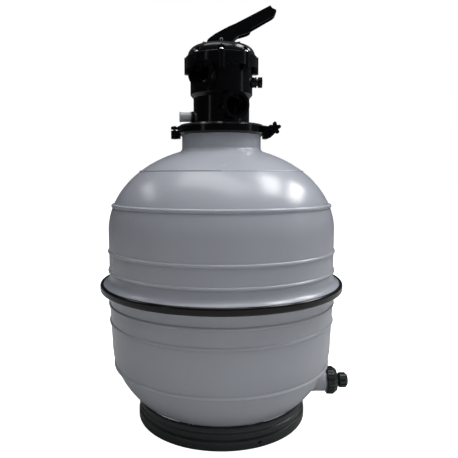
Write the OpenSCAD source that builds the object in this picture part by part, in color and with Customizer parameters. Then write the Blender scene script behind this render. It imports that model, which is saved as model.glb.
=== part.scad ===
// Top-mount sand filter: split tank on a ring base, six-way valve in the neck,
// folding laterals inside, drain at the foot. Millimetres, +Z up, front is -Y,
// origin on the tank axis in the plane of the floor.

/* [Tank] */
// Outside diameter of the tank's upper cylinder
tank_d = 535; // [520:1:550]
// Wall thickness of both tank halves
tank_wall = 6; // [4:0.5:8]
// Height of the joint between the two halves
joint_z = 325; // [320:1:330]
// Height where the top dome starts
dome_z = 455; // [445:1:465]
// Rise of the top dome's ellipse
dome_rise = 197; // [192:1:202]
// Outside radius of the neck
neck_r = 93.5; // [92:0.5:94]
// Height of the neck's sealing face
neck_z = 688; // [686:1:690]

/* [Base ring] */
// Outside radius of the base ring at the floor
base_r = 204; // [202:1:208]
// Wall of the base ring
base_wall = 5; // [4:0.5:7]
// Number of spokes under the tank
base_spokes = 8; // [4:1:12]

/* [Valve] */
// Outside radius of the lower valve housing
valve_low_r = 66; // [65:0.5:68]
// Outside radius of the upper valve housing
valve_top_r = 73; // [72:0.5:75]
// Number of lid screws
lid_screws_n = 8; // [6:1:10]
// Outside radius of a port socket
port_r = 29.5; // [28.5:0.5:30]
// Bore radius of a port socket, for one-and-a-half inch thread
port_bore_r = 23.5; // [22.5:0.5:24]
// Distance of a port's mouth from the valve axis
port_reach = 98; // [94:1:102]
// Azimuth of the pump port, from the front towards +X
pump_az = -29; // [-35:1:-25]
// Azimuth of the return port
return_az = 20; // [16:1:26]
// Azimuth of the waste port
waste_az = 180; // [170:1:190]

/* [Handle] */
// Slope of the grip above the horizontal
handle_angle = 28; // [24:1:30]
// Furthest press of the handle, in degrees
press_deg = 25; // [15:1:25]
// Rotor lift for each radian of press
cam_k = 11.4; // [9:0.1:11.4]

/* [Drain] */
// Height of the drain's axis
drain_z = 72.5; // [71:0.5:74]
// Outside radius of the sand drain cap
sand_cap_r = 34; // [32:0.5:35]
// Outside radius of the small water plug
plug_r = 18.5; // [17:0.5:20]

/* [Laterals] */
// Number of folding laterals
lateral_n = 8; // [8:1:8]
// Length of a lateral from its pivot
lateral_len = 145; // [120:1:150]
// Outside radius of a lateral
lateral_r = 12; // [10:0.5:12]

/* [Hidden] */
$fn = 96;
eps = 0.01;

// Colours
grey_shell = [0.62, 0.65, 0.68];
black_plastic = [0.05, 0.05, 0.06];
charcoal = [0.13, 0.14, 0.15];
steel = [0.72, 0.73, 0.75];
seal_black = [0.09, 0.09, 0.09];
white_plastic = [0.9, 0.9, 0.88];
clear_plastic = [0.8, 0.84, 0.86];

// Tank
tank_r = tank_d / 2;
low_dome_a = 264;
low_dome_b = 203.5;
low_dome_z = 187.3;
low_dome_end = 38.7;
knuckle_r = 80;
knuckle_from = 43.9;
knuckle_to = 14;
flange_r = 285;
flange_half = 5.5;
flare_rise = 20;
neck_fillet = 10;
rib_bead = 4.2;
neck_inner_r = 84;
clamp_flange_r = 98;

// Clamp
clamp_r = 102.5;
clamp_half_h = 12;
hinge_x = -112;
knuckle_pin_r = 3.5;
bolt_x = 124;
bolt_z = 692;
lug_t = 14;
lug_gap = 1;
stud_r = 4.1;
nut_bore_r = 5;
knob_y = -15.8;

// Valve heights
valve_floor_z = 697;
valve_step_z = 762;
valve_upper_z = 770;
seat_z = 787;
gasket_t = 3;
flange_low_z = 828;
lid_z = 841.5;
lid_flange_top = 856;
lid_top_z = 880;
hub_top_z = 882;
washer_t = 2;
screw_pcr = 78;
flange_plate_r = 84;
boss_r = 9;
insert_r = 5.8;
insert_h = 6;
pump_z = 806;
return_z = 737;
waste_z = 737;
sight_z = 720;
gauge_z = 800;

// Spring
spring_r = 26;
spring_wire = 2.2;
spring_turns = 5;
spring_z0 = 807;
spring_z1 = 869;
spring_steps = 16;
spring_sides = 8;

// Stem and handle
stem_r = 10;
stem_fit = 0.06;
pivot_h = 9;
pivot_z = hub_top_z + washer_t + pivot_h;
pin_r = 4;
pin_fit = 0.05;
handle_half_w = 20;
grip_half_w = 14.5;
fork_half = stem_r + 0.35;

// Drain, along +X
boss_face_x = 258;
spigot_r = 25;
spigot_end_x = 280;
drain_bore_r = 15;

// Inner pipework
pipe_r = 24.5;
pipe_bore_r = 21;
lateral_z = 88;
lateral_pivot_r = 40;
hub_r = 28.5;

// Where the fillet between dome and neck leaves the dome, and the height of its centre
fillet_start_r = neck_r + 0.716 * neck_fillet;
fillet_start_z = dome_z + dome_rise * sqrt(1 - pow(fillet_start_r / tank_r, 2)) + 0.959 * neck_fillet;

// Points of an arc about (cx, cy), from angle a0 to a1 in n steps
function arc_pts(cx, cy, r, a0, a1, n) =
    [for (i = [0 : n]) let (a = a0 + (a1 - a0) * i / n) [cx + r * cos(a), cy + r * sin(a)]];

// Points of an ellipse quarter about (0, cz)
function ellipse_pts(a, b, cz, t0, t1, n) =
    [for (i = [0 : n]) let (t = t0 + (t1 - t0) * i / n) [a * cos(t), cz + b * sin(t)]];

function reverse(pts) = [for (i = [len(pts) - 1 : -1 : 0]) pts[i]];

// A point moved into the grip's sloping frame
function on_grip(u, v) = [
    u * cos(handle_angle) - v * sin(handle_angle),
    u * sin(handle_angle) + v * cos(handle_angle)
];

// Heel of the handle: its distance to the washer grows by cam_k for each radian pressed
function heel_point(deg) =
    let (reach = pivot_h + cam_k * deg * PI / 180)
    [reach * sin(deg) + cam_k * cos(deg), cam_k * sin(deg) - reach * cos(deg)];

// Outline of the lower half, from its joint to the bottom centre, t inside the outer skin
function low_outline(t) =
    let (
        kx = low_dome_a * cos(low_dome_end) - knuckle_r * sin(knuckle_from),
        kz = low_dome_z - low_dome_b * sin(low_dome_end) + knuckle_r * cos(knuckle_from),
        crown_r = (kx + knuckle_r * sin(knuckle_to)) / sin(knuckle_to),
        crown_z = kz - knuckle_r * cos(knuckle_to) + crown_r * cos(knuckle_to)
    )
    concat(
        [[tank_r + 1 - t, 292]],
        ellipse_pts(low_dome_a - t, -(low_dome_b - t), low_dome_z, 0, low_dome_end, 14),
        arc_pts(kx, kz, knuckle_r - t, knuckle_from - 92, knuckle_to - 90, 6),
        [for (i = [1 : 6]) let (a = knuckle_to * (1 - i / 6))
            [(crown_r - t) * sin(a), crown_z - (crown_r - t) * cos(a)]]
    );

// Outline of the upper half, from the cylinder's foot to the neck, t inside the outer skin
function top_outline(t, r_end) =
    concat(
        [[tank_r - t, joint_z + flange_half + flare_rise]],
        ellipse_pts(tank_r - t, dome_rise - t, dome_z, 0, acos(r_end / (tank_r - t)), 20)
    );

// Place children at azimuth az measured from the front towards +X, on radius r
module at_azimuth(az, r, z) {
    rotate([0, 0, az]) translate([0, -r, z]) children();
}

// A cylinder lying along an azimuth, between two distances from the valve axis
module radial_cylinder(az, z, r, from, to) {
    rotate([0, 0, az]) translate([0, -from, z]) rotate([90, 0, 0]) cylinder(r = r, h = to - from);
}

// A cylinder along +X between x0 and x1
module x_cylinder(r, x0, x1, z) {
    translate([x0, 0, z]) rotate([0, 90, 0]) cylinder(r = r, h = x1 - x0);
}

module bead(r, z, size) {
    rotate_extrude() translate([r, z]) circle(r = size, $fn = 32);
}

module o_ring(r, z, size) {
    rotate_extrude() translate([r, z]) circle(r = size, $fn = 24);
}

module tube(r_out, r_in, z0, z1) {
    difference() {
        translate([0, 0, z0]) cylinder(r = r_out, h = z1 - z0);
        translate([0, 0, z0 - 1]) cylinder(r = r_in, h = z1 - z0 + 2);
    }
}

// ---- Tank ----

module base_stand() {
    color(charcoal) {
        difference() {
            rotate_extrude() polygon([
                [base_r - 16, 0], [base_r - 1, 0], [base_r, 2], [base_r, 17],
                [base_r - 1.5, 20], [base_r - 5, 21.5], [base_r - 5, 25],
                [base_r - 2.5, 26.5], [base_r - 1.5, 29], [base_r - 1.5, 36],
                [base_r - 3.5, 37.5], [base_r - 3.5, 40.5], [base_r - 1.5, 42],
                [base_r - 1, 45], [base_r - 2.5, 49.5], [base_r - 7.5, 51.8],
                [base_r - 9, 50.5], [base_r - 12.5, 46.5], [base_r - 12.5, 40],
                [base_r - 3.5 - base_wall, 38], [base_r - 3.5 - base_wall, 32],
                [base_r - 5 - base_wall, 28], [base_r - 5 - base_wall, 6], [base_r - 16, 6]
            ]);
            // Drain hole at the front right, for water inside the ring
            at_azimuth(24, base_r - 8, 12) cube([9, 30, 4], center = true);
        }
        cylinder(r = 34, h = 6);
        for (i = [0 : base_spokes - 1])
            rotate([0, 0, i * 360 / base_spokes]) translate([28, -4, 0])
                cube([base_r - 28 - 12, 8, 10]);
    }
}

module lower_shell() {
    color(grey_shell) difference() {
        union() {
            rotate_extrude() polygon(concat(
                [[tank_r - tank_wall, joint_z], [flange_r, joint_z]],
                [[flange_r, joint_z - flange_half]],
                arc_pts(flange_r + 2, joint_z - flange_half - 18, 18, 96, 150, 6),
                low_outline(0),
                reverse(low_outline(tank_wall))
            ));
            bead(tank_r - 0.9, 286, rib_bead);
            bead(tank_r - 2.2, 245, rib_bead);
            bead(257, 140.1, rib_bead);
            drain_boss();
        }
        // Way through the boss and the wall
        x_cylinder(drain_bore_r, 190, spigot_end_x + 1, drain_z);
    }
}

// Moulded boss with a male spigot for the sand drain cap
module drain_boss() {
    x_cylinder(27, base_r + 4, boss_face_x, drain_z);
    x_cylinder(spigot_r, boss_face_x - 1, spigot_end_x, drain_z);
    translate([base_r + 4, 0, drain_z]) rotate([0, 90, 0]) cylinder(r1 = 33, r2 = 27, h = 22);
}

module upper_shell() {
    color(grey_shell) {
        rotate_extrude() polygon(concat(
            [[tank_r - tank_wall, joint_z + eps], [flange_r, joint_z + eps]],
            [[flange_r, joint_z + flange_half]],
            arc_pts(flange_r + 2.6, joint_z + flange_half + flare_rise, flare_rise, 262, 186, 10),
            top_outline(0, fillet_start_r),
            arc_pts(neck_r + neck_fillet, fillet_start_z, neck_fillet, 253.5, 180, 6),
            [[neck_r, neck_z - 9], [clamp_flange_r, neck_z - 5.5], [clamp_flange_r, neck_z]],
            [[neck_inner_r, neck_z], [neck_inner_r, neck_z - 48]],
            reverse(top_outline(tank_wall, neck_inner_r + 1))
        ));
        bead(tank_r - 1.2, joint_z + 38.7, rib_bead);
        bead(tank_r - 1.2, joint_z + 83.2, rib_bead);
        bead(255.3, joint_z + 187.8, rib_bead + 0.6);
        bead(192, joint_z + 266, 2.5);
    }
}

module middle_band() {
    color(black_plastic) rotate([0, 0, 90.4]) rotate_extrude(angle = 359.2) polygon(concat(
        [[flange_r + 0.2, joint_z - 6.2], [flange_r + 0.2, joint_z + 6.2]],
        [[flange_r - 3.5, joint_z + 7.1], [flange_r - 3, joint_z + 8.3]],
        arc_pts(flange_r - 0.5, joint_z + 4, 5, 85, 0, 6),
        arc_pts(flange_r - 0.5, joint_z - 4, 5, 0, -85, 6),
        [[flange_r - 3, joint_z - 8.3], [flange_r - 3.5, joint_z - 7.1]]
    ));
}

module neck_seal() {
    color(seal_black) o_ring(89, neck_z + 2.1, 1.95);
}

// ---- Neck clamp ----

// One half of the V-section ring, from angle a0 over span
module clamp_arc(a0, span) {
    rotate([0, 0, a0]) rotate_extrude(angle = span) polygon([
        [94.6, neck_z - clamp_half_h], [98, neck_z - clamp_half_h],
        [clamp_r, neck_z - 7.5], [clamp_r, neck_z + 7.5],
        [98, neck_z + clamp_half_h], [94.6, neck_z + clamp_half_h],
        [94.6, neck_z + 9.4], [98.4, neck_z + 5.8],
        [98.4, neck_z - 5.8], [94.6, neck_z - 9.4]
    ]);
}

// Outline of the closing lug, in X and Z
module closing_lug_outline() {
    polygon(concat(
        [[98, neck_z - 18], [101, neck_z - 19.2], [108, neck_z - 19.2], [118, neck_z - 15]],
        arc_pts(bolt_x, bolt_z, 9.5, -50, 90, 10),
        [[114, neck_z + 9.5], [98, neck_z + 11.5]]
    ));
}

// Closing lug between y0 and y1
module closing_lug(y0, y1) {
    translate([0, y1, 0]) rotate([90, 0, 0]) linear_extrude(y1 - y0) closing_lug_outline();
}

// Ring side of the hinge, clear of the knuckles' circle
module hinge_arm(y0, y1) {
    translate([0, y1, 0]) rotate([90, 0, 0]) linear_extrude(y1 - y0) polygon([
        [-98, neck_z - 18], [-103.2, neck_z - 19], [-103.2, neck_z + 9], [-98, neck_z + 11.5]
    ]);
}

module knuckle(z0, z1) {
    translate([hinge_x, 0, z0]) cylinder(r = 8, h = z1 - z0);
}

module clamp_front() {
    color(black_plastic) difference() {
        union() {
            clamp_arc(180.6, 178.8);
            closing_lug(-lug_t, -lug_gap);
            hinge_arm(-12, -lug_gap);
            knuckle(neck_z - 11, neck_z);
            translate([hinge_x, -8, neck_z - 11]) cube([9.5, 8 - lug_gap, 11]);
            translate([109, -lug_t + eps, neck_z - 2]) rotate([90, 0, 0]) cylinder(r = 4.5, h = 1.5);
        }
        translate([hinge_x, 0, neck_z - 25]) cylinder(r = knuckle_pin_r + 0.06, h = 50);
        translate([bolt_x, 0, bolt_z]) rotate([90, 0, 0]) cylinder(r = stud_r + 0.5, h = 40);
    }
}

module clamp_rear() {
    color(black_plastic) difference() {
        union() {
            clamp_arc(0.6, 178.8);
            closing_lug(lug_gap, lug_t);
            hinge_arm(lug_gap, 12);
            for (level = [[-19, 7.6], [3, 6]]) {
                knuckle(neck_z + level[0], neck_z + level[0] + level[1]);
                translate([hinge_x, lug_gap, neck_z + level[0]])
                    cube([9.5, 8 - lug_gap, level[1]]);
            }
        }
        translate([hinge_x, 0, neck_z - 25]) cylinder(r = knuckle_pin_r, h = 50);
        translate([bolt_x, 40, bolt_z]) rotate([90, 0, 0]) cylinder(r = nut_bore_r + 0.3, h = 40);
        // Pocket for the captive nut, open at the back
        translate([bolt_x, lug_t + 1, bolt_z]) rotate([90, 0, 0])
            translate([0, 0, 4.5]) cube([16.2, 16.2, 9], center = true);
    }
}

module clamp_hinge_pin() {
    color(steel) {
        translate([hinge_x, 0, neck_z - 20]) cylinder(r = knuckle_pin_r, h = 30);
        translate([hinge_x, 0, neck_z + 9]) cylinder(r = 5, h = 2);
    }
}

// Five-lobed star, turning about the stud
module clamp_knob() {
    color(black_plastic) translate([bolt_x, knob_y, bolt_z]) rotate([90, 0, 0]) difference() {
        union() {
            cylinder(r = 9, h = 18);
            for (i = [0 : 4]) rotate([0, 0, 18 + i * 72]) {
                translate([10.5, 0, 4]) cylinder(r = 4.2, h = 12);
                translate([0, -4.2, 4]) cube([10.5, 8.4, 12]);
            }
        }
        translate([0, 0, -1]) cylinder(r = stud_r + eps, h = 13);
    }
}

module knob_stud() {
    color(steel) translate([bolt_x, 12, bolt_z]) rotate([90, 0, 0]) cylinder(r = stud_r, h = 39.8);
}

module knob_washer() {
    color(steel) translate([bolt_x, -lug_t - 0.1, bolt_z]) rotate([90, 0, 0])
        tube(9, stud_r + 0.3, 0, 1.6);
}

module clamp_nut() {
    color(steel) translate([bolt_x, lug_t - 0.5, bolt_z]) rotate([90, 0, 0]) difference() {
        translate([-8, -8, 0]) cube([16, 16, 7.4]);
        translate([0, 0, -1]) cylinder(r = nut_bore_r, h = 10);
    }
}

// ---- Valve ----

module valve_body() {
    color(black_plastic) difference() {
        union() {
            // Clamping flange, lower housing, step, upper housing
            rotate_extrude() polygon([
                [0, neck_z + 0.2], [clamp_flange_r, neck_z + 0.2], [clamp_flange_r, neck_z + 5.5],
                [94, neck_z + 9], [valve_low_r + 5, neck_z + 9.5], [valve_low_r, neck_z + 14],
                [valve_low_r, valve_step_z], [valve_top_r, valve_upper_z],
                [valve_top_r, flange_low_z], [flange_plate_r, flange_low_z],
                [flange_plate_r, lid_z], [0, lid_z]
            ]);
            // Spigot that centres the valve in the neck
            translate([0, 0, neck_z - 14]) cylinder(r = neck_inner_r - 0.4, h = 15);
            for (i = [0 : lid_screws_n - 1])
                at_azimuth(i * 360 / lid_screws_n, screw_pcr, flange_low_z - 10)
                    cylinder(r = boss_r, h = lid_z - flange_low_z + 10);
            port_hub(pump_az, pump_z);
            port_hub(return_az, return_z);
            port_hub(waste_az, waste_z);
            radial_cylinder(90, gauge_z, 12, 66, 77);
            radial_cylinder(-90, sight_z, 13.5, 60, 69);
        }
        // Chamber above the seat
        translate([0, 0, seat_z]) cylinder(r = 66, h = 80);
        // Six sector windows in the seat
        for (i = [0 : 5]) rotate([0, 0, i * 60 + 5]) seat_window();
        // Lower chamber round the centre tube
        difference() {
            translate([0, 0, valve_floor_z]) cylinder(r = 60, h = valve_step_z + 18 - valve_floor_z);
            cylinder(r = pipe_r + 5, h = 900);
            for (a = [-3, 117, 237]) rotate([0, 0, a]) translate([0, -2.5, 600]) cube([70, 5, 300]);
        }
        // Socket for the standpipe and its way up
        translate([0, 0, neck_z - 20]) cylinder(r = pipe_r + 0.3, h = 46);
        translate([0, 0, neck_z]) cylinder(r = pipe_bore_r, h = 200);
        // Feed ring from the lower chamber to the tank
        for (i = [0 : 5]) rotate([0, 0, i * 60 + 30]) translate([45, 0, neck_z - 20])
            cylinder(r = 11, h = 40);
        port_bore(pump_az, pump_z, 17);
        port_bore(return_az, return_z, 20);
        port_bore(waste_az, waste_z, 20);
        radial_cylinder(90, gauge_z, 6.6, 50, 90);
        radial_cylinder(-90, sight_z, 10.1, 50, 90);
        // Grooves of the neck seal and the lid seal
        tube(91.1, 86.9, neck_z, neck_z + 4.15);
        tube(72.4, 67.6, lid_z - 2.9, lid_z + 1);
        for (i = [0 : lid_screws_n - 1])
            at_azimuth(i * 360 / lid_screws_n, screw_pcr, 0) {
                cylinder_from(3.3, flange_low_z - 4, lid_z + 1);
                translate([0, 0, lid_z - insert_h - 0.2])
                    cylinder(r = insert_r + 0.05, h = insert_h + 1, $fn = 6);
            }
    }
}

module port_hub(az, z) {
    radial_cylinder(az, z, port_r, 40, port_reach);
    radial_cylinder(az, z, port_r + 1.5, port_reach - 8, port_reach - 1);
}

// Socket with a smaller way through to the chamber
module port_bore(az, z, way_r) {
    radial_cylinder(az, z, port_bore_r, port_reach - 26, port_reach + 1);
    radial_cylinder(az, z, way_r, 48, port_reach);
}

module seat_window() {
    rotate_extrude(angle = 50) translate([31, valve_step_z + 17]) square([24, 20]);
}

module spider_gasket() {
    color(seal_black) difference() {
        translate([0, 0, seat_z + 0.05]) cylinder(r = 64, h = gasket_t - 0.1);
        translate([0, 0, seat_z - 1]) cylinder(r = pipe_bore_r, h = 10);
        for (i = [0 : 5]) rotate([0, 0, i * 60 + 5]) translate([0, 0, 6]) seat_window();
    }
}

// Diverter disc with its stem, moulded in one
module rotor() {
    disc_z = seat_z + gasket_t + 0.15;
    color(white_plastic) difference() {
        union() {
            translate([0, 0, disc_z]) cylinder(r = 63, h = 7);
            translate([0, 0, disc_z]) cylinder(r = 34, h = 14);
            translate([0, 0, disc_z + 14]) cylinder(r1 = 15, r2 = stem_r, h = 16);
            cylinder_from(stem_r, disc_z + 20, pivot_z + 9);
            // Hood that joins the centre to one sector
            rotate([0, 0, 65]) rotate_extrude(angle = 50) translate([10, disc_z + 5]) square([50, 7]);
        }
        rotate([0, 0, 5]) translate([0, 0, disc_z - seat_z]) seat_window();
        rotate([0, 0, 69]) rotate_extrude(angle = 42) translate([14, disc_z - 1]) square([42, 10]);
        translate([0, 0, disc_z - 1]) cylinder(r = 20, h = 12);
        for (z = [864, 872]) tube(stem_r + 1, stem_r - 2.45, z - 1.3, z + 1.3);
        translate([0, 30, pivot_z]) rotate([90, 0, 0]) cylinder(r = pin_r, h = 60);
    }
}

module cylinder_from(r, z0, z1) {
    translate([0, 0, z0]) cylinder(r = r, h = z1 - z0);
}

// One ring of points round the spring's wire
function spring_ring(i) =
    let (
        a = 360 * i / spring_steps,
        z = spring_z0 + (spring_z1 - spring_z0) * i / (spring_turns * spring_steps)
    )
    [for (j = [0 : spring_sides - 1])
        let (b = 360 * j / spring_sides, r = spring_r + spring_wire * cos(b))
        [r * cos(a), r * sin(a), z + spring_wire * sin(b)]];

// Compression spring between the rotor and the lid
module rotor_spring() {
    rings = spring_turns * spring_steps;
    pts = [for (i = [0 : rings]) each spring_ring(i)];
    walls = [for (i = [0 : rings - 1]) for (j = [0 : spring_sides - 1])
        let (k = (j + 1) % spring_sides)
        [i * spring_sides + j, (i + 1) * spring_sides + j,
         (i + 1) * spring_sides + k, i * spring_sides + k]];
    start_cap = [[for (j = [0 : spring_sides - 1]) j]];
    end_cap = [[for (j = [spring_sides - 1 : -1 : 0]) rings * spring_sides + j]];
    color(steel) polyhedron(points = pts, faces = concat(walls, start_cap, end_cap), convexity = 6);
}

module spring_washer() {
    color(white_plastic) tube(31, 18, 871.9, 873.9);
}

module stem_seals() {
    color(seal_black) for (z = [864, 872]) o_ring(stem_r - 1.2, z, 1.2);
}

module valve_lid() {
    color(black_plastic) difference() {
        union() {
            rotate_extrude() polygon(concat(
                [[0, lid_z + 0.1], [flange_plate_r, lid_z + 0.1]],
                [[flange_plate_r, lid_flange_top - 1.5], [flange_plate_r - 1.5, lid_flange_top]],
                arc_pts(56, lid_flange_top + 1, lid_top_z - lid_flange_top - 1, 0, 90, 10),
                [[36, lid_top_z], [34, hub_top_z], [0, hub_top_z]]
            ));
            for (i = [0 : lid_screws_n - 1])
                at_azimuth(i * 360 / lid_screws_n, screw_pcr, lid_z + 0.1)
                    cylinder(r = boss_r, h = lid_flange_top - lid_z - 0.1);
            // Short stop walls that mark the handle's positions
            for (i = [0 : 5]) rotate([0, 0, 30 + i * 60]) translate([39, -2, lid_top_z - 2])
                cube([10, 4, 9]);
        }
        // Room for the spring, with the stem's guide left standing
        difference() {
            rotate_extrude() polygon(concat(
                [[0, lid_z - 1], [66, lid_z - 1], [66, lid_z + 10]],
                arc_pts(52, lid_flange_top - 2, 14, 0, 70, 5),
                [[50, 874], [0, 874]]
            ));
            translate([0, 0, 858]) cylinder(r = 17, h = 30);
        }
        translate([0, 0, 800]) cylinder(r = stem_r + stem_fit, h = 100);
        for (i = [0 : lid_screws_n - 1])
            at_azimuth(i * 360 / lid_screws_n, screw_pcr, lid_z - 20) {
                cylinder(r = 3.3, h = 60);
                translate([0, 0, 20 + lid_flange_top - lid_z]) cylinder(r = 7, h = 12);
            }
    }
}

module lid_seal() {
    color(seal_black) o_ring(70, lid_z - 1.4, 1.4);
}

module lid_screws() {
    color(steel) for (i = [0 : lid_screws_n - 1])
        at_azimuth(i * 360 / lid_screws_n, screw_pcr, 0) {
            cylinder_from(3, flange_low_z - 2, lid_flange_top + 1);
            difference() {
                cylinder_from(5.5, lid_flange_top + 0.1, lid_flange_top + 4.2);
                translate([0, 0, lid_flange_top + 2]) cylinder(r = 2.9, h = 4, $fn = 6);
            }
        }
}

// Hexagonal threaded inserts, let into the tops of the bosses
module lid_nuts() {
    color(steel) for (i = [0 : lid_screws_n - 1])
        at_azimuth(i * 360 / lid_screws_n, screw_pcr, lid_z - insert_h - 0.1)
            difference() {
                cylinder(r = insert_r, h = insert_h, $fn = 6);
                translate([0, 0, -1]) cylinder(r = 3.01, h = 8);
            }
}

module handle_washer() {
    color(white_plastic) tube(31, stem_r + 0.35, hub_top_z + 0.05, hub_top_z + washer_t - 0.05);
}

// Side view of the handle about its pivot
module handle_side() {
    polygon(concat(
        [[-33.7, -pivot_h], [-33.7, -3], [-32, 0.5]],
        [on_grip(-17, 17.3), on_grip(-6, 18.5), on_grip(8, 18.4)],
        [on_grip(60, 17.5), on_grip(135.8, 15.7)],
        [for (i = [0 : 5]) let (a = 184 + 62 * i / 5) on_grip(149.5 + 13.5 * cos(a), 14 + 13.5 * sin(a))],
        [on_grip(141.6, -3), on_grip(137, -6.9), on_grip(130, -8.4), on_grip(74, -9.6)],
        [on_grip(70.3, -11.6), on_grip(68.5, -13.7), on_grip(61, -14), on_grip(50, -11.9)],
        [on_grip(37, -8.8), [29.3, 2.8], [26, -2.7]],
        [for (i = [6 : -1 : 0]) heel_point(press_deg * i / 6)]
    ));
}

// Plan of the handle: wide hub, narrower grip with a rounded end
module handle_plan() {
    polygon([
        [-34, -15], [-29, -handle_half_w], [18, -handle_half_w], [34, -grip_half_w],
        [122, -grip_half_w], [130, -9], [130, 9], [122, grip_half_w],
        [34, grip_half_w], [18, handle_half_w], [-29, handle_half_w], [-34, 15]
    ]);
}

module handle() {
    color(black_plastic) translate([0, 0, pivot_z]) difference() {
        union() {
            intersection() {
                translate([0, 40, 0]) rotate([90, 0, 0]) linear_extrude(80) handle_side();
                translate([0, 0, -40]) linear_extrude(160) handle_plan();
            }
            translate([0, handle_half_w + 1.5, 0]) rotate([90, 0, 0])
                cylinder(r = 8, h = 2 * handle_half_w + 3);
        }
        // Fork that straddles the stem
        translate([0, fork_half, 0]) rotate([90, 0, 0]) linear_extrude(2 * fork_half)
            polygon([[-17, -40], [17, -40], [17, 14.5], [-8, 14.5], [-17, 6.5]]);
        translate([0, 40, 0]) rotate([90, 0, 0]) cylinder(r = pin_r + pin_fit, h = 80);
        // Hollow under the grip
        rotate([0, -handle_angle, 0]) translate([40, -grip_half_w + 4, -30])
            cube([90, 2 * grip_half_w - 8, 42]);
    }
}

module handle_pin() {
    color(steel) translate([0, handle_half_w + 2.6, pivot_z]) rotate([90, 0, 0])
        cylinder(r = pin_r - eps, h = 2 * handle_half_w + 5.2);
}

module sight_glass() {
    color(clear_plastic) difference() {
        union() {
            radial_cylinder(-90, sight_z, 10, 61, 72);
            radial_cylinder(-90, sight_z, 12.6, 71.1, 74.5);
            radial_cylinder(-90, sight_z, 11, 74, 96);
            radial_cylinder(-90, sight_z, 12, 95, 99);
        }
        radial_cylinder(-90, sight_z, 8, 60, 95);
    }
}

module sight_glass_seal() {
    color(seal_black) radial_ring(-90, sight_z, 12.5, 10.2, 69.05, 71.05);
}

module radial_ring(az, z, r_out, r_in, from, to) {
    difference() {
        radial_cylinder(az, z, r_out, from, to);
        radial_cylinder(az, z, r_in, from - 1, to + 1);
    }
}

module gauge_plug() {
    color(black_plastic) {
        radial_cylinder(90, gauge_z, 6.5, 67, 80);
        radial_cylinder(90, gauge_z, 12.5, 79.1, 82.5);
        radial_cylinder(90, gauge_z, 8.5, 82, 87);
        radial_octagon(90, gauge_z, 12.6, 86, 96);
    }
}

// An eight-sided prism lying along an azimuth
module radial_octagon(az, z, r, from, to) {
    rotate([0, 0, az]) translate([0, -from, z]) rotate([90, 22.5, 0])
        cylinder(r = r, h = to - from, $fn = 8);
}

module gauge_plug_seal() {
    color(seal_black) radial_ring(90, gauge_z, 11, 6.6, 77.05, 79.05);
}

// ---- Drain ----

// A turned piece about the drain's axis; its outline gives radius and X
module turned_on_drain(outline) {
    translate([0, 0, drain_z]) rotate([0, 90, 0]) rotate_extrude() polygon(outline);
}

module sand_drain_cap() {
    color(black_plastic) difference() {
        union() {
            turned_on_drain([
                [0, 261], [sand_cap_r - 3.5, 261], [sand_cap_r - 2, 262.5],
                [sand_cap_r - 2, 279], [sand_cap_r - 7, 286.5], [0, 286.5]
            ]);
            x_cylinder(15, 286, 288, drain_z);
            // Grip ribs round the rim, bevelled towards the end
            intersection() {
                turned_on_drain([
                    [0, 261.5], [sand_cap_r - 1.5, 261.5], [sand_cap_r, 263],
                    [sand_cap_r, 277], [sand_cap_r - 6.5, 286], [0, 286]
                ]);
                for (i = [0 : 23]) translate([260, 0, drain_z]) rotate([i * 15, 0, 0])
                    translate([0, -2, sand_cap_r - 8]) cube([28, 4, 9]);
            }
        }
        x_cylinder(spigot_r + 0.3, 260, spigot_end_x + 2.6, drain_z);
        x_cylinder(8.3, 270, 300, drain_z);
    }
}

module sand_cap_seal() {
    color(seal_black) difference() {
        x_cylinder(spigot_r - 0.2, spigot_end_x + 0.15, spigot_end_x + 2.45, drain_z);
        x_cylinder(17, spigot_end_x - 1, spigot_end_x + 4, drain_z);
    }
}

// Slotted tube that keeps the sand back
module drain_strainer() {
    color(white_plastic) difference() {
        x_cylinder(drain_bore_r - 0.2, 196, spigot_end_x - 1, drain_z);
        x_cylinder(drain_bore_r - 3, 199, spigot_end_x, drain_z);
        for (x = [202 : 5 : 217]) translate([x, -20, drain_z - 4]) cube([2, 40, 8]);
    }
}

module water_drain_plug() {
    color(black_plastic) {
        x_cylinder(7.4, 268, 292, drain_z);
        turned_on_drain([
            [0, 290.3], [plug_r - 6, 290.3], [plug_r - 2, 294],
            [plug_r - 2, 310], [plug_r - 6.5, 315], [0, 315]
        ]);
        intersection() {
            turned_on_drain([
                [0, 290.8], [plug_r - 4.5, 290.8], [plug_r, 295],
                [plug_r, 309.5], [plug_r - 5, 314.5], [0, 314.5]
            ]);
            for (i = [0 : 11]) translate([290, 0, drain_z]) rotate([i * 30, 0, 0])
                translate([0, -3, plug_r - 9]) cube([25, 6, 10]);
        }
    }
}

module plug_seal() {
    color(seal_black) difference() {
        x_cylinder(12, 288.1, 290.2, drain_z);
        x_cylinder(7.6, 287, 292, drain_z);
    }
}

// ---- Inner pipework ----

module standpipe() {
    color(white_plastic) tube(pipe_r, pipe_bore_r, lateral_z + 14, neck_z + 20);
}

module standpipe_seal() {
    color(seal_black) o_ring(pipe_r + 2.2, neck_z - 15.6, 1.5);
}

module top_diffuser() {
    color(white_plastic) difference() {
        tube(66, 62, neck_z - 60, neck_z - 14.1);
        for (i = [0 : 23]) rotate([0, 0, i * 15]) translate([60, -1.5, neck_z - 54])
            cube([10, 3, 32]);
    }
    color(white_plastic) tube(64, pipe_r + 2, neck_z - 60, neck_z - 56);
}

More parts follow.
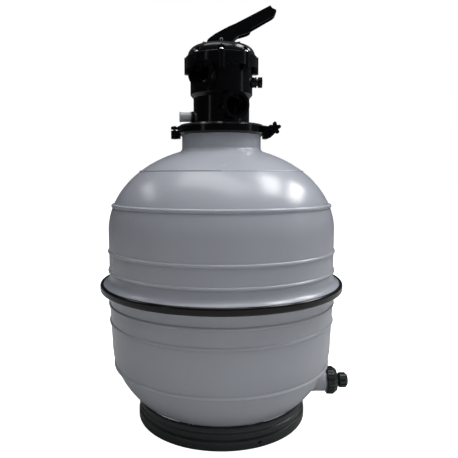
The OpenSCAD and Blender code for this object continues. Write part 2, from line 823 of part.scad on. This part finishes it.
module lateral_hub() {
    color(white_plastic) difference() {
        union() {
            translate([0, 0, lateral_z - 16]) cylinder(r = hub_r, h = 44);
            // Two ears for each lateral's pivot
            for (i = [0 : lateral_n - 1]) rotate([0, 0, i * 360 / lateral_n]) {
                for (s = [-1, 1]) translate([hub_r - 3, s * 8.2 - 1.5, lateral_z - 7])
                    cube([lateral_pivot_r + 8 - hub_r, 3, 12]);
            }
        }
        translate([0, 0, lateral_z + 13.9]) cylinder(r = pipe_r + 0.1, h = 40);
        translate([0, 0, lateral_z - 10]) cylinder(r = pipe_bore_r, h = 40);
        for (i = [0 : lateral_n - 1]) rotate([0, 0, i * 360 / lateral_n]) {
            translate([lateral_pivot_r, 14, lateral_z - 1]) rotate([90, 0, 0]) cylinder(r = 2.55, h = 28);
            translate([12, 0, lateral_z - 1]) rotate([0, 90, 0]) cylinder(r = 4.6, h = 20);
        }
    }
}

// One slotted arm: eye, neck and ribbed tube, lying along +X
module lateral_arm() {
    color(white_plastic) difference() {
        union() {
            translate([0, 6.4, -1]) rotate([90, 0, 0]) cylinder(r = 5, h = 12.8);
            translate([0, 11.4, -1]) rotate([90, 0, 0]) cylinder(r = 2.5, h = 22.8);
            translate([0, -6.4, -6]) cube([16, 12.8, 10]);
            translate([14, 0, 0]) rotate([0, 90, 0]) rotate_extrude() polygon(concat(
                [[0, 0], [lateral_r - 3, 0], [lateral_r, 3]],
                [for (i = [0 : 19]) each [
                    [lateral_r, 6 + i * 6], [lateral_r - 1.2, 7 + i * 6],
                    [lateral_r - 1.2, 8 + i * 6], [lateral_r, 9 + i * 6]]],
                [[lateral_r, lateral_len - 17], [lateral_r - 3, lateral_len - 14], [0, lateral_len - 14]]
            ));
        }
        translate([20, 0, 0]) rotate([0, 90, 0]) cylinder(r = lateral_r - 3.5, h = lateral_len - 28);
    }
}

module lateral(i) {
    rotate([0, 0, (i - 1) * 360 / lateral_n]) translate([lateral_pivot_r, 0, lateral_z]) lateral_arm();
}

base_stand();
lower_shell();
upper_shell();
middle_band();
neck_seal();
clamp_front();
clamp_rear();
clamp_hinge_pin();
clamp_knob();
knob_stud();
knob_washer();
clamp_nut();
valve_body();
spider_gasket();
rotor();
rotor_spring();
spring_washer();
stem_seals();
valve_lid();
lid_seal();
lid_screws();
lid_nuts();
handle_washer();
handle();
handle_pin();
sight_glass();
sight_glass_seal();
gauge_plug();
gauge_plug_seal();
sand_drain_cap();
sand_cap_seal();
drain_strainer();
water_drain_plug();
plug_seal();
standpipe();
standpipe_seal();
top_diffuser();
lateral_hub();
lateral(1);  // lateral_1
lateral(2);  // lateral_2
lateral(3);  // lateral_3
lateral(4);  // lateral_4
lateral(5);  // lateral_5
lateral(6);  // lateral_6
lateral(7);  // lateral_7
lateral(8);  // lateral_8
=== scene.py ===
import math

import bmesh
import bpy
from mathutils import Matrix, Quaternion, Vector


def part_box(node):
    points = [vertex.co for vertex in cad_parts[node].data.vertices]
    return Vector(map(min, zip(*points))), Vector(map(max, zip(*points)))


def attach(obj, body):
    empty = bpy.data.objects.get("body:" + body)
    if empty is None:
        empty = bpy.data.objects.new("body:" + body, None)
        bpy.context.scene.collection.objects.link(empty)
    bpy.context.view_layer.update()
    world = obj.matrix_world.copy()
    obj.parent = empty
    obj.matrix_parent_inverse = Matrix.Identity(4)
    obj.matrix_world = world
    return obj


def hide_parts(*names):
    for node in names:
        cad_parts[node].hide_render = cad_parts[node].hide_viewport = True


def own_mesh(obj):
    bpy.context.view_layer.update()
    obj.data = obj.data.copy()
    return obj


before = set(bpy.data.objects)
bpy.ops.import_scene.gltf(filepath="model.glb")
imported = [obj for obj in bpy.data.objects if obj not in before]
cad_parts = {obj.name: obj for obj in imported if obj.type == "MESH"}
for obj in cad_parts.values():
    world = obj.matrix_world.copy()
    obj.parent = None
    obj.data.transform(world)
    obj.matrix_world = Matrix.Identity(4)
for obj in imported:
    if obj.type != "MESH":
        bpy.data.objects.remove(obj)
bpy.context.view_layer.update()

# Looks of a top-mount sand filter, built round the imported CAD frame.
# Metres, +Z up, front is -Y, origin on the tank axis in the plane of the floor.

MM = 0.001


# ---------------------------------------------------------------- node helpers

def new_material(name):
    """An empty node material and its shader, output already joined."""
    mat = bpy.data.materials.new(name)
    mat.use_nodes = True
    tree = mat.node_tree
    tree.nodes.clear()
    out = tree.nodes.new("ShaderNodeOutputMaterial")
    shader = tree.nodes.new("ShaderNodeBsdfPrincipled")
    tree.links.new(shader.outputs["BSDF"], out.inputs["Surface"])
    return mat, tree, shader


def object_coords(tree, stretch=(1, 1, 1)):
    """Object coordinates in metres, stretched along each axis."""
    coords = tree.nodes.new("ShaderNodeTexCoord")
    mapping = tree.nodes.new("ShaderNodeMapping")
    mapping.inputs["Scale"].default_value = stretch
    tree.links.new(coords.outputs["Object"], mapping.inputs["Vector"])
    return mapping.outputs["Vector"]


def noise(tree, vector, per_metre, detail=3.0, roughness=0.5, distortion=0.0):
    """A noise value, most of it between 0.3 and 0.7."""
    node = tree.nodes.new("ShaderNodeTexNoise")
    node.inputs["Scale"].default_value = per_metre
    node.inputs["Detail"].default_value = detail
    node.inputs["Roughness"].default_value = roughness
    node.inputs["Distortion"].default_value = distortion
    tree.links.new(vector, node.inputs["Vector"])
    return node.outputs["Fac"]


def ramp(tree, value, stops):
    """Maps a value to colours; stops are (place, colour)."""
    node = tree.nodes.new("ShaderNodeValToRGB")
    elements = node.color_ramp.elements
    while len(elements) < len(stops):
        elements.new(0.5)
    for element, (place, colour) in zip(elements, stops):
        element.position = place
        element.color = (*colour, 1.0)
    tree.links.new(value, node.inputs["Fac"])
    return node.outputs["Color"]


def remap(tree, value, low, high, from_low=0.3, from_high=0.7):
    """Spreads a value evenly over low to high; the usual range is where most noise lies."""
    node = tree.nodes.new("ShaderNodeMapRange")
    node.inputs["From Min"].default_value = from_low
    node.inputs["From Max"].default_value = from_high
    node.inputs["To Min"].default_value = low
    node.inputs["To Max"].default_value = high
    tree.links.new(value, node.inputs["Value"])
    return node.outputs["Result"]


def mix_colours(tree, share, under, over):
    """Lays a plain colour over a colour output, by a share from 0 to 1."""
    node = tree.nodes.new("ShaderNodeMix")
    node.data_type = "RGBA"
    sockets = {s.name: s for s in node.inputs if s.enabled}
    tree.links.new(share, sockets["Factor"])
    tree.links.new(under, sockets["A"])
    sockets["B"].default_value = (*over, 1.0)
    return [s for s in node.outputs if s.enabled][0]


def split_by_camera(tree, lit, seen):
    """A shader that the camera sees as one thing and that lights the object as another."""
    path = tree.nodes.new("ShaderNodeLightPath")
    pick = tree.nodes.new("ShaderNodeMixShader")
    tree.links.new(path.outputs["Is Camera Ray"], pick.inputs["Fac"])
    tree.links.new(lit, pick.inputs[1])
    tree.links.new(seen, pick.inputs[2])
    return pick.outputs["Shader"]


def bump_chain(tree, shader, layers):
    """Adds bump layers; each is (height, distance in metres)."""
    normal = None
    for height, distance in layers:
        node = tree.nodes.new("ShaderNodeBump")
        node.inputs["Strength"].default_value = 1.0
        node.inputs["Distance"].default_value = distance
        tree.links.new(height, node.inputs["Height"])
        if normal is not None:
            tree.links.new(normal, node.inputs["Normal"])
        normal = node.outputs["Normal"]
    tree.links.new(normal, shader.inputs["Normal"])


def tint(colour, factor):
    """A lighter or darker version of a colour."""
    return tuple(min(1.0, c * factor) for c in colour)


# ---------------------------------------------------------------- materials

def moulded_plastic(name, colour, roughness, spread, mottle, peel, wave, specular=0.5):
    """Moulded plastic: soft mottling, fine speckle, scuffs that dull the gloss, orange peel.

    spread is how far roughness varies and mottle how far the colour does; peel and wave are the
    depths of the fine grain and of the slow swell, in millimetres.
    """
    mat, tree, shader = new_material(name)
    shader.inputs["Specular IOR Level"].default_value = specular
    coords = object_coords(tree)
    clouds = noise(tree, coords, per_metre=9, detail=4, roughness=0.55)
    speckle = noise(tree, coords, per_metre=900, detail=2, roughness=0.6)
    body = ramp(tree, clouds, [
        (0.3, tint(colour, 1 - mottle)), (0.55, colour), (0.75, tint(colour, 1 + mottle)),
    ])
    dust = remap(tree, speckle, 0.0, 0.35, from_low=0.5, from_high=0.75)
    skin = mix_colours(tree, dust, body, tint(colour, 1.18))
    tree.links.new(skin, shader.inputs["Base Color"])
    flattened = object_coords(tree, stretch=(1, 1, 5))
    scuffs = noise(tree, flattened, per_metre=46, detail=6, roughness=0.62, distortion=0.6)
    rough = remap(tree, scuffs, roughness - spread, roughness + spread)
    tree.links.new(rough, shader.inputs["Roughness"])
    grain = noise(tree, coords, per_metre=520, detail=3, roughness=0.55)
    swell = noise(tree, coords, per_metre=7, detail=2, roughness=0.4)
    bump_chain(tree, shader, [(grain, peel * MM), (swell, wave * MM)])
    return mat


def shell_material():
    """Grey tank skin: even gel-coat gloss, faint mottling and rubbed patches."""
    return moulded_plastic(
        "tank_grey", (0.402, 0.42, 0.465), roughness=0.24, spread=0.035, mottle=0.025,
        peel=0.012, wave=0.5, specular=0.55,
    )


def black_material():
    """The valve's black plastic: nearly jet, with a low satin sheen."""
    return moulded_plastic(
        "valve_black", (0.0009, 0.0009, 0.0015), roughness=0.17, spread=0.05, mottle=0.15,
        peel=0.008, wave=0.06, specular=0.4,
    )


def charcoal_material():
    """The base's satin charcoal, a little green."""
    return moulded_plastic(
        "base_charcoal", (0.022, 0.029, 0.028), roughness=0.34, spread=0.06, mottle=0.12,
        peel=0.05, wave=0.1,
    )


def drain_material():
    """The drain fittings' plastic: greyer and greener than the valve."""
    return moulded_plastic(
        "drain_charcoal", (0.017, 0.023, 0.023), roughness=0.30, spread=0.06, mottle=0.12,
        peel=0.03, wave=0.06,
    )


def white_material():
    """Off-white plastic of the inner pipes, rotor and washers."""
    return moulded_plastic(
        "inner_white", (0.76, 0.76, 0.73), roughness=0.38, spread=0.05, mottle=0.03,
        peel=0.015, wave=0.05,
    )


def rubber_material():
    """Dull black rubber of the seals."""
    return moulded_plastic(
        "seal_rubber", (0.02, 0.02, 0.021), roughness=0.72, spread=0.08, mottle=0.2,
        peel=0.06, wave=0.05,
    )


def steel_material():
    """Zinc-plated steel: brushed streaks and slightly darker stains."""
    mat, tree, shader = new_material("steel")
    shader.inputs["Metallic"].default_value = 0.8
    stains = noise(tree, object_coords(tree), per_metre=160, detail=4, roughness=0.6)
    colour = ramp(tree, stains, [
        (0.3, (0.42, 0.42, 0.43)), (0.6, (0.68, 0.68, 0.69)), (0.8, (0.74, 0.74, 0.75)),
    ])
    tree.links.new(colour, shader.inputs["Base Color"])
    across = object_coords(tree, stretch=(1, 1, 14))
    streaks = noise(tree, across, per_metre=260, detail=3, roughness=0.6)
    tree.links.new(remap(tree, streaks, 0.28, 0.48), shader.inputs["Roughness"])
    bump_chain(tree, shader, [(streaks, 0.01 * MM)])
    return mat


def clear_material():
    """Clear sight glass with a light haze."""
    mat, tree, shader = new_material("clear_plastic")
    shader.inputs["Transmission Weight"].default_value = 0.45
    shader.inputs["IOR"].default_value = 1.49
    coords = object_coords(tree)
    haze = noise(tree, coords, per_metre=120, detail=4, roughness=0.6)
    colour = ramp(tree, haze, [(0.3, (0.82, 0.85, 0.86)), (0.7, (0.93, 0.95, 0.95))])
    tree.links.new(colour, shader.inputs["Base Color"])
    tree.links.new(remap(tree, haze, 0.08, 0.22), shader.inputs["Roughness"])
    ripple = noise(tree, coords, per_metre=300, detail=2)
    bump_chain(tree, shader, [(ripple, 0.02 * MM)])
    return mat


# What each material slot of the record looks like
MATERIALS = {
    "shell_grey": shell_material(),
    "valve_black": black_material(),
    "base_charcoal": charcoal_material(),
    "steel": steel_material(),
    "seal_rubber": rubber_material(),
    "inner_white": white_material(),
    "clear": clear_material(),
}

# Nodes that look unlike the rest of their slot
DRAIN_LOOK = drain_material()
SPECIAL_LOOKS = {"sand_drain_cap": DRAIN_LOOK, "water_drain_plug": DRAIN_LOOK}


# ---------------------------------------------------------------- CAD nodes

def smooth_group():
    """Geometry nodes that shade a mesh smooth, so that the bevels carry the edges."""
    group = bpy.data.node_groups.new("shade_smooth", "GeometryNodeTree")
    group.interface.new_socket("Geometry", in_out="INPUT", socket_type="NodeSocketGeometry")
    group.interface.new_socket("Geometry", in_out="OUTPUT", socket_type="NodeSocketGeometry")
    start = group.nodes.new("NodeGroupInput")
    smooth = group.nodes.new("GeometryNodeSetShadeSmooth")
    end = group.nodes.new("NodeGroupOutput")
    group.links.new(start.outputs[0], smooth.inputs["Geometry"])
    group.links.new(smooth.outputs["Geometry"], end.inputs[0])
    return group


SMOOTH = smooth_group()
WELD_GAP = 0.005 * MM
FLAT_DEG = 0.6
SHARP_DEG = 28


def soften(obj, radius):
    """Rounds a CAD node's sharp edges with modifiers alone."""
    weld = obj.modifiers.new("weld", "WELD")
    weld.merge_threshold = WELD_GAP
    flat = obj.modifiers.new("flat", "DECIMATE")
    flat.decimate_type = "DISSOLVE"
    flat.angle_limit = math.radians(FLAT_DEG)
    bevel = obj.modifiers.new("bevel", "BEVEL")
    bevel.width = radius
    bevel.segments = 2
    bevel.limit_method = "ANGLE"
    bevel.angle_limit = math.radians(SHARP_DEG)
    bevel.use_clamp_overlap = True
    nodes = obj.modifiers.new("smooth", "NODES")
    nodes.node_group = SMOOTH
    normals = obj.modifiers.new("normals", "WEIGHTED_NORMAL")
    normals.weight = 80
    normals.keep_sharp = False


# Edge radii in millimetres
EDGE_RADII = {
    "upper_shell": 1.2, "lower_shell": 1.2, "middle_band": 0.5, "base_stand": 1.0,
    "valve_body": 0.8, "valve_lid": 0.8, "sight_glass": 0.5, "gauge_plug": 0.8,
    "handle": 1.6, "handle_pin": 0.5,
    "clamp_front": 0.9, "clamp_rear": 0.9, "clamp_knob": 1.1, "clamp_hinge_pin": 0.5,
    "sand_drain_cap": 0.8, "water_drain_plug": 0.7,
}


def dress_cad_nodes():
    """Gives each CAD node its material, and round edges where they show."""
    for name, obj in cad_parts.items():
        slot = obj.data.materials[0].name.split(".")[0]
        obj.material_slots[0].link = "OBJECT"
        obj.material_slots[0].material = SPECIAL_LOOKS.get(name, MATERIALS[slot])
        if name in EDGE_RADII:
            soften(obj, EDGE_RADII[name] * MM)


dress_cad_nodes()


# ---------------------------------------------------------------- new pieces

def bridge(mesh, one, two):
    """Joins two closed loops of vertices with smooth faces."""
    count = len(one)
    for j in range(count):
        k = (j + 1) % count
        mesh.faces.new((one[j], one[k], two[k], two[j])).smooth = True


def new_piece(name, mesh, slot, body, *replaced):
    """Turns a bmesh into a piece that rides on a body and stands for CAD nodes."""
    data = bpy.data.meshes.new(name)
    mesh.to_mesh(data)
    mesh.free()
    piece = bpy.data.objects.new(name, data)
    bpy.context.scene.collection.objects.link(piece)
    data.materials.append(MATERIALS[slot])
    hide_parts(*replaced)
    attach(piece, body)
    return piece


# ---------------------------------------------------------------- lid screws

SCREW_COUNT = 8
SHANK_R = 3.0 * MM
TIP_R = 0.75 * SHANK_R
TIP_H = 0.8 * MM
HEAD_R = 5.5 * MM
HEAD_H = 4.1 * MM
HEAD_EDGE = 0.3 * MM
HEAD_RIM_H = 1.2 * MM
SOCKET_R = 2.9 * MM
SOCKET_MOUTH_R = SOCKET_R + 0.1 * MM
SOCKET_DEPTH = 2.2 * MM
SOCKET_EDGE = 0.3 * MM
SOCKET_LIP = 0.5 * MM
DOME_STEPS = 7
SCREW_STEPS = 36


def hex_factor(angle):
    """How far out a hexagon's side is along an angle, as a share of its corner."""
    sixth = math.pi / 3
    return math.cos(sixth / 2) / math.cos(angle % sixth - sixth / 2)


def screw_rings(low, high):
    """Rings of (radius, height, share of hexagon): tip, shank, button head and hexagon socket."""
    head_low = high - HEAD_H
    rim = head_low + HEAD_RIM_H
    lip_r = SOCKET_R + SOCKET_LIP
    rings = [
        (TIP_R, low, 0.0), (SHANK_R, low + TIP_H, 0.0), (SHANK_R, head_low, 0.0),
        (HEAD_R - HEAD_EDGE, head_low, 0.0), (HEAD_R, head_low + HEAD_EDGE, 0.0),
    ]
    for i in range(DOME_STEPS + 1):
        t = i / DOME_STEPS
        radius = HEAD_R - (HEAD_R - lip_r) * t
        rings.append((radius, rim + (high - rim) * math.sin(math.pi / 2 * t), 0.0))
    rings += [
        (SOCKET_MOUTH_R, high, 0.6), (SOCKET_R, high - SOCKET_EDGE, 1.0),
        (SOCKET_R, high - SOCKET_DEPTH, 1.0),
    ]
    return rings


def add_screw(mesh, centre, low, high):
    """Turns the screw's rings into one closed solid."""
    loops = []
    for radius, z, share in screw_rings(low, high):
        loop = []
        for j in range(SCREW_STEPS):
            angle = 2 * math.pi * j / SCREW_STEPS
            reach = radius * (1 - share + share * hex_factor(angle))
            x = centre[0] + reach * math.cos(angle)
            y = centre[1] + reach * math.sin(angle)
            loop.append(mesh.verts.new((x, y, z)))
        loops.append(loop)
    for one, two in zip(loops, loops[1:]):
        bridge(mesh, one, two)
    mesh.faces.new(loops[-1])
    mesh.faces.new(list(reversed(loops[0])))


def build_lid_screws():
    """Button-head screws with hexagon sockets, one in each boss of the lid."""
    low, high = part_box("lid_screws")
    ring_r = high[0] - HEAD_R
    mesh = bmesh.new()
    for i in range(SCREW_COUNT):
        angle = 2 * math.pi * i / SCREW_COUNT
        centre = (ring_r * math.cos(angle), ring_r * math.sin(angle))
        add_screw(mesh, centre, low[2], high[2])
    new_piece("lid_button_screws", mesh, "steel", "tank", "lid_screws")


build_lid_screws()


# ---------------------------------------------------------------- return spring

WIRE_R = 1.9 * MM
SPRING_GAP = 0.2 * MM
TURNS = 7
CLOSED_TURNS = 1
STEPS_PER_TURN = 48
WIRE_SIDES = 12


def helix_height(turn, low, high):
    """Height of the wire's centre: the end coils lie flat on each other, the rest rise evenly."""
    thick = 2 * WIRE_R
    if turn < CLOSED_TURNS:
        return low + WIRE_R + thick * turn
    if turn > TURNS - CLOSED_TURNS:
        return high - WIRE_R - thick * (TURNS - turn)
    flat = thick * CLOSED_TURNS
    rise = (high - low - thick - 2 * flat) / (TURNS - 2 * CLOSED_TURNS)
    return low + WIRE_R + flat + rise * (turn - CLOSED_TURNS)


def wire_ring(mesh, angle, z, coil_r):
    """One ring of vertices round the wire, at an angle along the coil."""
    ring = []
    for i in range(WIRE_SIDES):
        around = 2 * math.pi * i / WIRE_SIDES
        reach = coil_r + WIRE_R * math.cos(around)
        place = (reach * math.cos(angle), reach * math.sin(angle), z + WIRE_R * math.sin(around))
        ring.append(mesh.verts.new(place))
    return ring


def build_spring():
    """The rotor's compression spring, with closed end coils."""
    low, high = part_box("rotor_spring")
    coil_r = high[0] - WIRE_R - SPRING_GAP
    mesh = bmesh.new()
    rings = []
    for i in range(TURNS * STEPS_PER_TURN + 1):
        turn = i / STEPS_PER_TURN
        z = helix_height(turn, low[2], high[2])
        rings.append(wire_ring(mesh, 2 * math.pi * turn, z, coil_r))
    for one, two in zip(rings, rings[1:]):
        bridge(mesh, one, two)
    mesh.faces.new(rings[0])
    mesh.faces.new(list(reversed(rings[-1])))
    bmesh.ops.recalc_face_normals(mesh, faces=mesh.faces)
    spring = new_piece("return_spring", mesh, "steel", "selector", "rotor_spring")
    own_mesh(spring)


build_spring()


# ---------------------------------------------------------------- stage, light, camera

def build_floor():
    """A white floor to the camera, which bounces less light than it shows."""
    reach = 60.0
    mesh = bpy.data.meshes.new("floor")
    corners = [(-reach, -reach, 0), (reach, -reach, 0), (reach, reach, 0), (-reach, reach, 0)]
    mesh.from_pydata(corners, [], [(0, 1, 2, 3)])
    floor = bpy.data.objects.new("floor", mesh)
    bpy.context.scene.collection.objects.link(floor)
    mat, tree, shader = new_material("floor_pale")
    shader.inputs["Roughness"].default_value = 0.9
    shader.inputs["Specular IOR Level"].default_value = 0.1
    shader.inputs["Emission Color"].default_value = (1, 1, 1, 1)
    shader.inputs["Emission Strength"].default_value = 1.0
    tone = noise(tree, object_coords(tree), per_metre=3)
    colour = ramp(tree, tone, [(0.3, (0.9, 0.9, 0.9)), (0.7, (0.93, 0.93, 0.93))])
    tree.links.new(colour, shader.inputs["Base Color"])
    bounce = tree.nodes.new("ShaderNodeBsdfDiffuse")
    bounce.inputs["Color"].default_value = (0.53, 0.53, 0.52, 1.0)
    surface = split_by_camera(tree, bounce.outputs["BSDF"], shader.outputs["BSDF"])
    tree.links.new(surface, tree.nodes["Material Output"].inputs["Surface"])
    mesh.materials.append(mat)


def build_world():
    """Soft room light, brighter overhead and to the right; the camera itself sees white."""
    world = bpy.data.worlds.new("studio")
    bpy.context.scene.world = world
    world.use_nodes = True
    tree = world.node_tree
    tree.nodes.clear()
    coords = tree.nodes.new("ShaderNodeTexCoord")
    split = tree.nodes.new("ShaderNodeSeparateXYZ")
    tree.links.new(coords.outputs["Generated"], split.inputs["Vector"])
    height = remap(tree, split.outputs["Z"], 0.0, 1.0, from_low=-1.0, from_high=1.0)
    sky = ramp(tree, height, [
        (0.45, (0.045, 0.045, 0.05)), (0.62, (0.05, 0.055, 0.06)),
        (0.80, (0.16, 0.165, 0.18)), (1.0, (0.30, 0.31, 0.33)),
    ])
    strength = remap(tree, split.outputs["X"], 0.45, 1.4, from_low=-1.0, from_high=1.0)
    room = tree.nodes.new("ShaderNodeBackground")
    tree.links.new(sky, room.inputs["Color"])
    tree.links.new(strength, room.inputs["Strength"])
    white = tree.nodes.new("ShaderNodeBackground")
    white.inputs["Color"].default_value = (1, 1, 1, 1)
    surface = split_by_camera(tree, room.outputs["Background"], white.outputs["Background"])
    out = tree.nodes.new("ShaderNodeOutputWorld")
    tree.links.new(surface, out.inputs["Surface"])


def area_light(name, place, aim_z, size, watts, spin=0.0, diffuse=True, glossy=True):
    """A rectangular lamp that faces a height on the tank's axis.

    Without diffuse it shows only as a highlight; without glossy it lights and leaves none.
    """
    data = bpy.data.lights.new(name, "AREA")
    data.shape = "RECTANGLE"
    data.size, data.size_y = size
    data.energy = watts
    light = bpy.data.objects.new(name, data)
    bpy.context.scene.collection.objects.link(light)
    light.location = place
    light.rotation_mode = "QUATERNION"
    facing = (Vector((0, 0, aim_z)) - Vector(place)).to_track_quat("-Z", "Y")
    light.rotation_quaternion = facing @ Quaternion((0, 0, 1), spin)
    light.visible_diffuse = diffuse
    light.visible_glossy = glossy


def build_lights():
    """The lamps that light the object's surfaces."""
    area_light("ceiling", (0, -0.4, 3.4), 0.4, size=(3.6, 3.6), watts=79, glossy=False)
    area_light("key", (1.8, 0.1, 3.4), 0.5, size=(2.0, 1.2), watts=56, glossy=False)
    area_light("fill_low", (1.2, -2.3, 0.12), 0.2, size=(1.8, 0.2), watts=5, glossy=False)
    area_light("fill_right", (2.6, 0.6, 0.8), 0.5, size=(1.2, 1.6), watts=5, glossy=False)


def build_reflections():
    """The panels that show only as highlights on the gloss."""
    area_light("ceiling_gloss", (-0.2, -0.3, 3.3), 0.4, size=(2.8, 1.1), watts=30, diffuse=False)
    area_light(
        "panel_near", (1.62, 0.16, 3.0), 0.5, size=(1.4, 0.7), watts=30, spin=0.3, diffuse=False,
    )
    area_light("panel_far", (3.1, 1.0, 3.0), 0.5, size=(2.0, 0.8), watts=60, diffuse=False)
    area_light("panel_left", (-2.9, 0.9, 3.0), 0.5, size=(1.8, 0.5), watts=9, diffuse=False)
    area_light("strip_left", (-2.1, -1.9, 0.9), 0.6, size=(0.16, 1.6), watts=1.0, diffuse=False)
    area_light("strip_right", (2.8, -0.5, 0.9), 0.6, size=(0.22, 1.6), watts=1.1, diffuse=False)


def build_camera():
    """A viewpoint a little above the tank's middle, looking 6 degrees down."""
    data = bpy.data.cameras.new("camera")
    data.sensor_width = 36.0
    data.lens = 38.77
    data.shift_x = 0.0166
    camera = bpy.data.objects.new("camera", data)
    bpy.context.scene.collection.objects.link(camera)
    camera.location = (0.0, -1.1928, 0.5784)
    look_down = 6.0
    camera.rotation_euler = (math.radians(90.0 - look_down), 0.0, 0.0)
    bpy.context.scene.camera = camera


build_floor()
build_world()
build_lights()
build_reflections()
build_camera()
bpy.context.scene.view_settings.view_transform = "Standard"
